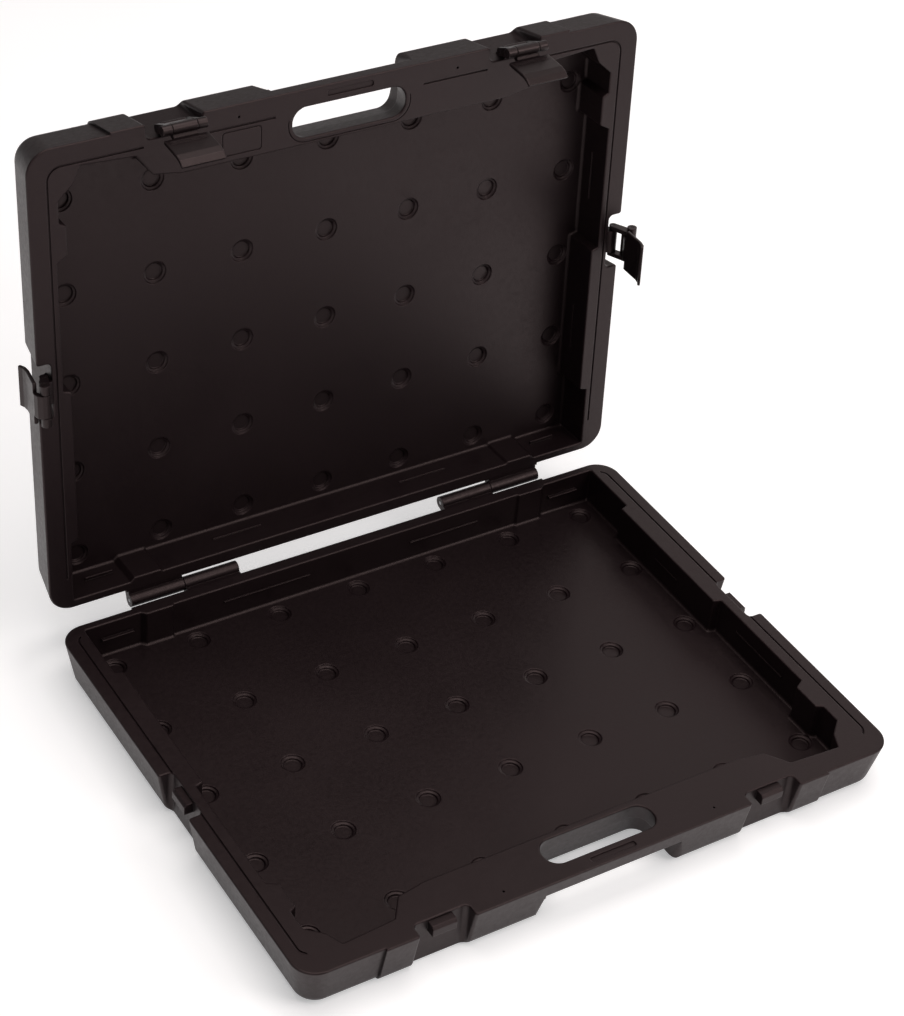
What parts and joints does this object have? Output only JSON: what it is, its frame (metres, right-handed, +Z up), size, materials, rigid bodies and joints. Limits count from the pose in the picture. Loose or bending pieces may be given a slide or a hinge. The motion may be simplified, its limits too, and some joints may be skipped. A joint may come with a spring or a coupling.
{
  "type": "hard tool case",
  "caption": "Open hard-shell carrying case: two hinged double-wall halves with dimpled floors, a split carry handle and draw latches on the lid.",
  "frame": {"origin": "centre of the base's flat underside", "axes": "+Z up, -Y towards the handle side (front), +X to the right seen from the front; hinge axis parallel to X at the back"},
  "size_m": [0.5422, 0.4877, 0.4656],
  "materials": {
    "shell_plastic": "fine matte grain",
    "latch_plastic": "satin",
    "pin_plastic": "satin",
    "hinge_steel": "drawn steel rod"
  },
  "bodies": {
    "base": {"base_shell": "shell_plastic", "hinge_pin_left": "hinge_steel", "hinge_pin_right": "hinge_steel"},
    "lid": {"lid_shell": "shell_plastic"},
    "front_left_link": {"front_left_latch_link": "latch_plastic", "front_left_link_pin": "pin_plastic", "front_left_lever_pin": "pin_plastic"},
    "front_left_lever": {"front_left_latch_lever": "latch_plastic"},
    "front_right_link": {"front_right_latch_link": "latch_plastic", "front_right_link_pin": "pin_plastic", "front_right_lever_pin": "pin_plastic"},
    "front_right_lever": {"front_right_latch_lever": "latch_plastic"},
    "side_left_link": {"side_left_latch_link": "latch_plastic", "side_left_link_pin": "pin_plastic", "side_left_lever_pin": "pin_plastic"},
    "side_left_lever": {"side_left_latch_lever": "latch_plastic"},
    "side_right_link": {"side_right_latch_link": "latch_plastic", "side_right_link_pin": "pin_plastic", "side_right_lever_pin": "pin_plastic"},
    "side_right_lever": {"side_right_latch_lever": "latch_plastic"}
  },
  "joints": [
    {"name": "lid_hinge", "type": "hinge", "parent": "base", "child": "lid", "pos_m": [0, 0.2139, 0.041], "axis": [1, 0, 0], "range_deg": [0, 93.74]},
    {"name": "front_left_link_hinge", "type": "hinge", "parent": "lid", "child": "front_left_link", "pos_m": [-0.147, 0.24293, 0.45439], "axis": [1, 0, 0], "range_deg": [-75, 20]},
    {"name": "front_left_lever_hinge", "type": "hinge", "parent": "front_left_link", "child": "front_left_lever", "pos_m": [-0.147, 0.22645, 0.46163], "axis": [-1, 0, 0], "range_deg": [-43, 207]},
    {"name": "front_right_link_hinge", "type": "hinge", "parent": "lid", "child": "front_right_link", "pos_m": [0.147, 0.24293, 0.45439], "axis": [1, 0, 0], "range_deg": [-75, 20]},
    {"name": "front_right_lever_hinge", "type": "hinge", "parent": "front_right_link", "child": "front_right_lever", "pos_m": [0.147, 0.22645, 0.46163], "axis": [-1, 0, 0], "range_deg": [-45, 205]},
    {"name": "side_left_link_hinge", "type": "hinge", "parent": "lid", "child": "side_left_link", "pos_m": [-0.2585, 0.23004, 0.25731], "axis": [0, 0.0652, 0.9979], "range_deg": [-40, 20]},
    {"name": "side_left_lever_hinge", "type": "hinge", "parent": "side_left_link", "child": "side_left_lever", "pos_m": [-0.26466, 0.21317, 0.25841], "axis": [0, -0.0652, -0.9979], "range_deg": [-238, 12]},
    {"name": "side_right_link_hinge", "type": "hinge", "parent": "lid", "child": "side_right_link", "pos_m": [0.2585, 0.23004, 0.25731], "axis": [0, -0.0652, -0.9979], "range_deg": [-71, 24]},
    {"name": "side_right_lever_hinge", "type": "hinge", "parent": "side_right_link", "child": "side_right_lever", "pos_m": [0.26582, 0.21364, 0.25838], "axis": [0, 0.0652, 0.9979], "range_deg": [-42, 208]}
  ]
}
